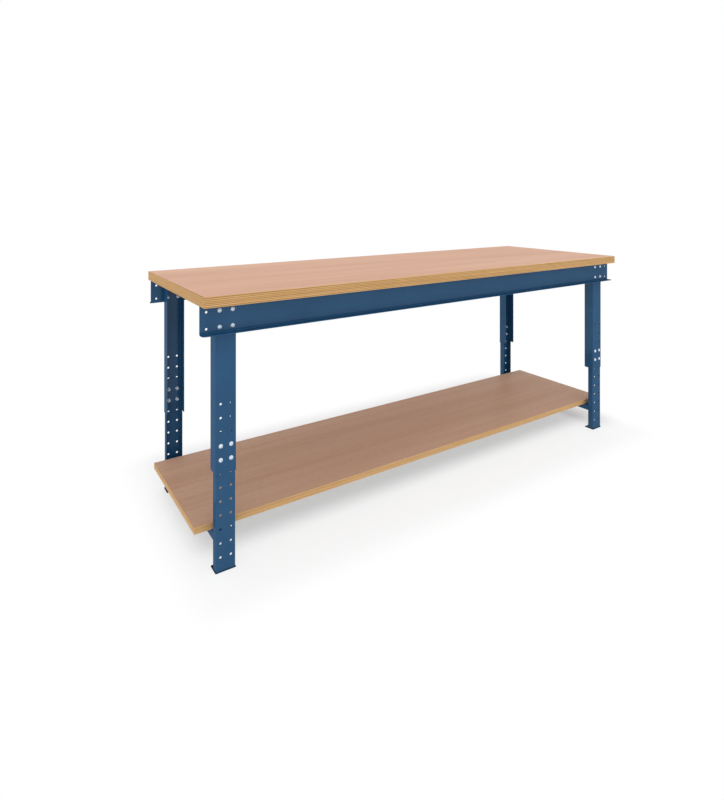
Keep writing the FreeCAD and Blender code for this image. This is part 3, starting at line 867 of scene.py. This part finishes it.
def make_bolt_pattern_tree():
    """The blank in two columns and two rows on each leg of one side, each one turned at random."""
    tree, given = new_geometry_tree(
        "bolt_pattern", Legs_Apart="Float", Columns_Apart="Float", Rows_Apart="Float",
        Middle_Height="Float", Seat="Float", Tilt="Float", Side_Turn="Float",
        Seed="Int", Finish="Material")
    apart = given["Legs Apart"]
    first = add(tree, "ShaderNodeCombineXYZ", {"X": calc(tree, "MULTIPLY", apart, -0.5)})
    step = add(tree, "ShaderNodeCombineXYZ", {"X": apart})
    legs = add(tree, "GeometryNodeMeshLine", {
        "Count": 2, "Start Location": first.outputs[0], "Offset": step.outputs[0]})
    four = add(tree, "GeometryNodeMeshGrid", {
        "Size X": given["Columns Apart"], "Size Y": given["Rows Apart"], "Vertices X": 2, "Vertices Y": 2})
    upright = add(tree, "GeometryNodeTransform", {
        "Geometry": four.outputs["Mesh"], "Rotation": (math.radians(90.0), 0.0, 0.0)})
    fours = add(tree, "GeometryNodeInstanceOnPoints", {
        "Points": legs.outputs["Mesh"], "Instance": upright.outputs["Geometry"]})
    holes = add(tree, "GeometryNodeRealizeInstances", {"Geometry": fours.outputs["Instances"]})
    place = add(tree, "ShaderNodeCombineXYZ", {"Y": given["Seat"], "Z": given["Middle Height"]})
    placed = add(tree, "GeometryNodeTransform", {
        "Geometry": holes.outputs["Geometry"], "Translation": place.outputs[0]})
    tilt = add(tree, "ShaderNodeCombineXYZ", {"X": given["Tilt"]})
    set_in = add(tree, "GeometryNodeInstanceOnPoints", {
        "Points": placed.outputs["Geometry"], "Instance": given["Geometry"], "Rotation": tilt.outputs[0]})
    chance = add(tree, "FunctionNodeRandomValue", {
        2: 0.0, 3: math.tau, "Seed": given["Seed"]}, data_type="FLOAT")
    spin = add(tree, "ShaderNodeCombineXYZ", {"Z": chance.outputs[1]})
    spun = add(tree, "GeometryNodeRotateInstances", {
        "Instances": set_in.outputs["Instances"], "Rotation": spin.outputs[0], "Local Space": True})
    turn = add(tree, "ShaderNodeCombineXYZ", {"Z": given["Side Turn"]})
    on_side = add(tree, "GeometryNodeTransform", {
        "Geometry": spun.outputs["Instances"], "Rotation": turn.outputs[0]})
    real = add(tree, "GeometryNodeRealizeInstances", {"Geometry": on_side.outputs["Geometry"]})
    plated = add(tree, "GeometryNodeSetMaterial", {
        "Geometry": real.outputs["Geometry"], "Material": given["Finish"]})
    return end_tree(tree, plated.outputs["Geometry"])


bolt_pattern_tree = make_bolt_pattern_tree()
fastener_blanks = {
    "bolts": make_bolt_blank(),
    "outer_washers": make_washer_blank(),
    "inner_washers": make_washer_blank(),
    "nuts": make_nut_blank(),
}
SIDES = ("front", "back")
CREASE = math.radians(38.0)        # edges that turn more than this stay crisp


def outer_and_inner_face(node):
    """Distance of the node's outer and inner face from the table's long middle plane."""
    low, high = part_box(node)
    return max(abs(low.y), abs(high.y)), min(abs(low.y), abs(high.y))


def set_fasteners(joint, side, seed):
    """Bolts, washers and nuts of one joint along one side, in the place of the frame's plain ones."""
    low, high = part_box(joint + "_bolts_" + side)
    leg_low, leg_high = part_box("upper_leg_" + side + "_left")
    leg_x = (leg_low.x + leg_high.x) / 2
    outer_washer = outer_and_inner_face(joint + "_outer_washers_" + side)
    inner_washer = outer_and_inner_face(joint + "_inner_washers_" + side)
    seats = {
        "bolts": (outer_washer[0], 1),
        "outer_washers": (outer_washer[1], 1),
        "inner_washers": (inner_washer[0], -1),
        "nuts": (inner_washer[1], -1),
    }
    for kind, (seat, outward) in seats.items():
        piece = bpy.data.objects.new("_".join((side, joint, kind)), fastener_blanks[kind].copy())
        scene.collection.objects.link(piece)
        shaped_by(bolt_pattern_tree, piece,
                  Legs_Apart=-2 * leg_x,
                  Columns_Apart=2 * (leg_x - low.x - HEAD_RADIUS),
                  Rows_Apart=high.z - low.z - 2 * HEAD_RADIUS,
                  Middle_Height=(high.z + low.z) / 2,
                  Seat=-seat,
                  Tilt=outward * math.radians(90.0),
                  Side_Turn=math.pi if side == "back" else 0.0,
                  Seed=seed,
                  Finish=zinc)
        piece.data.shade_smooth()
        piece.data.set_sharp_from_angle(angle=CREASE)
        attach(piece, "upper_frame")
        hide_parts("_".join((joint, kind, side)))


for side, seed in zip(SIDES, (11, 12)):
    set_fasteners("height", side, seed)


# ---- rails
# Long rails folded from 2.5 mm sheet, outside the legs, with a foot flange outwards and a head
# flange under the board. Two open holes at each end take accessories.

for side in SIDES:
    dress(side + "_rail", blue_coat)


# ---- rail bolts
# The same zinc plated M8 bolts, washers and nuts, four at each leg. They clamp the rails to the
# outside of the outer legs.

for side, seed in zip(SIDES, (21, 22)):
    set_fasteners("rail", side, seed)


# ---- worktop
# Beech multiplex 40 mm thick, of thirteen plies, with eased edges. It lies on the rails and cross
# members and is screwed from below.

multiplex_board(
    "worktop_board", "worktop", "upper_frame",
    plies=13, ease=0.0015, corner_radius=0.002,
    face=make_beech_face("worktop_face", srgb(213, 165, 137), srgb(221, 173, 145), srgb(228, 183, 155)),
    along=make_ply_along("worktop_ply_along_grain", srgb(216, 175, 121), srgb(234, 197, 144)),
    across=make_ply_across("worktop_ply_end_grain", srgb(179, 126, 69), srgb(209, 158, 93)))


# ---- worktop screws
# Galvanised wood screws like those of the shelf. They are driven up through the head flanges of
# the rails and through the top cross members into the board.

for screws in ("worktop_rail_screws", "worktop_end_screws"):
    dress(screws, zinc)
